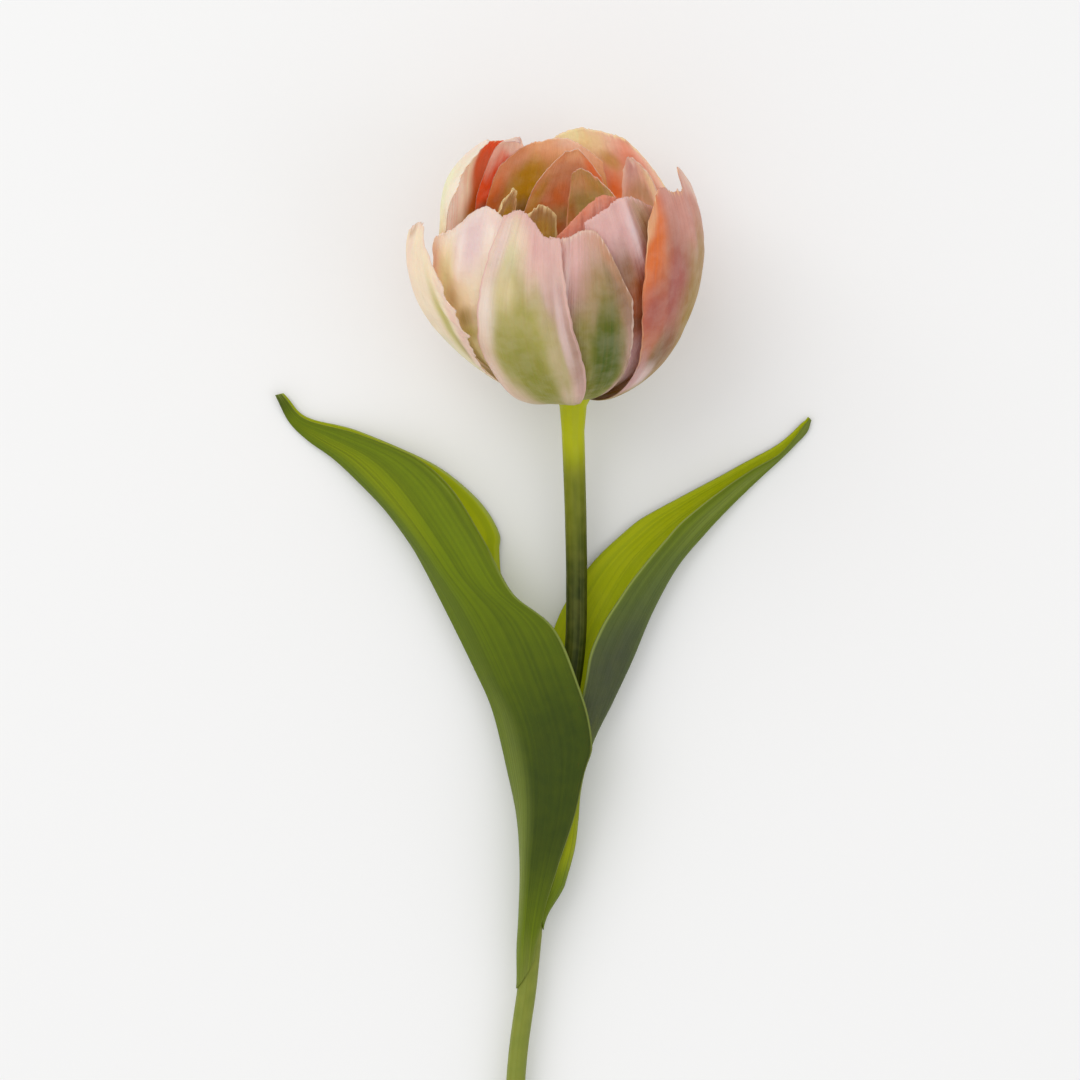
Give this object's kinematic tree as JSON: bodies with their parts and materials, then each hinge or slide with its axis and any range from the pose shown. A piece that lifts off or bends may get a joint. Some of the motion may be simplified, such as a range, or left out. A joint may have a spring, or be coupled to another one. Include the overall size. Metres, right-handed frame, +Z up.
{
  "type": "fringed tulip",
  "caption": "Cut double tulip lying on a surface: long stem, two clasping leaves and a cup of layered, finely fringed petals.",
  "frame": {"origin": "on the surface the flower lies on, below the middle of its bounding box", "axes": "+Z up from the surface, +Y from the cut end of the stem towards the bloom, +X to the right seen from above"},
  "size_m": [0.1467, 0.337, 0.0709],
  "materials": {
    "stem": "satin",
    "leaf": "satin",
    "petal_outer": "matte",
    "petal_middle": "matte",
    "petal_inner": "matte",
    "pistil": "satin",
    "stamen": "matte"
  },
  "bodies": {
    "root": {"leaf_left": "leaf", "leaf_right": "leaf", "petal_inner_back": "petal_inner", "petal_inner_centre": "petal_inner", "petal_inner_curled": "petal_inner", "petal_inner_front_left": "petal_inner", "petal_inner_front_right": "petal_inner", "petal_inner_left": "petal_inner", "petal_inner_low": "petal_inner", "petal_inner_right": "petal_inner", "petal_middle_back_left": "petal_middle", "petal_middle_back_right": "petal_middle", "petal_middle_folded": "petal_middle", "petal_middle_front": "petal_middle", "petal_middle_left": "petal_middle", "petal_middle_right": "petal_middle", "petal_middle_side": "petal_middle", "petal_outer_back": "petal_outer", "petal_outer_back_left": "petal_outer", "petal_outer_back_right": "petal_outer", "petal_outer_front_left": "petal_outer", "petal_outer_front_right": "petal_outer", "petal_outer_left": "petal_outer", "petal_outer_right": "petal_outer", "petaloid_back": "petal_inner", "petaloid_front_left": "petal_inner", "petaloid_front_right": "petal_inner", "petaloid_left": "petal_inner", "petaloid_right": "petal_inner", "pistil": "pistil", "stamen_1": "stamen", "stamen_2": "stamen", "stamen_3": "stamen", "stamen_4": "stamen", "stamen_5": "stamen", "stamen_6": "stamen", "stem": "stem"}
  },
  "joints": []
}
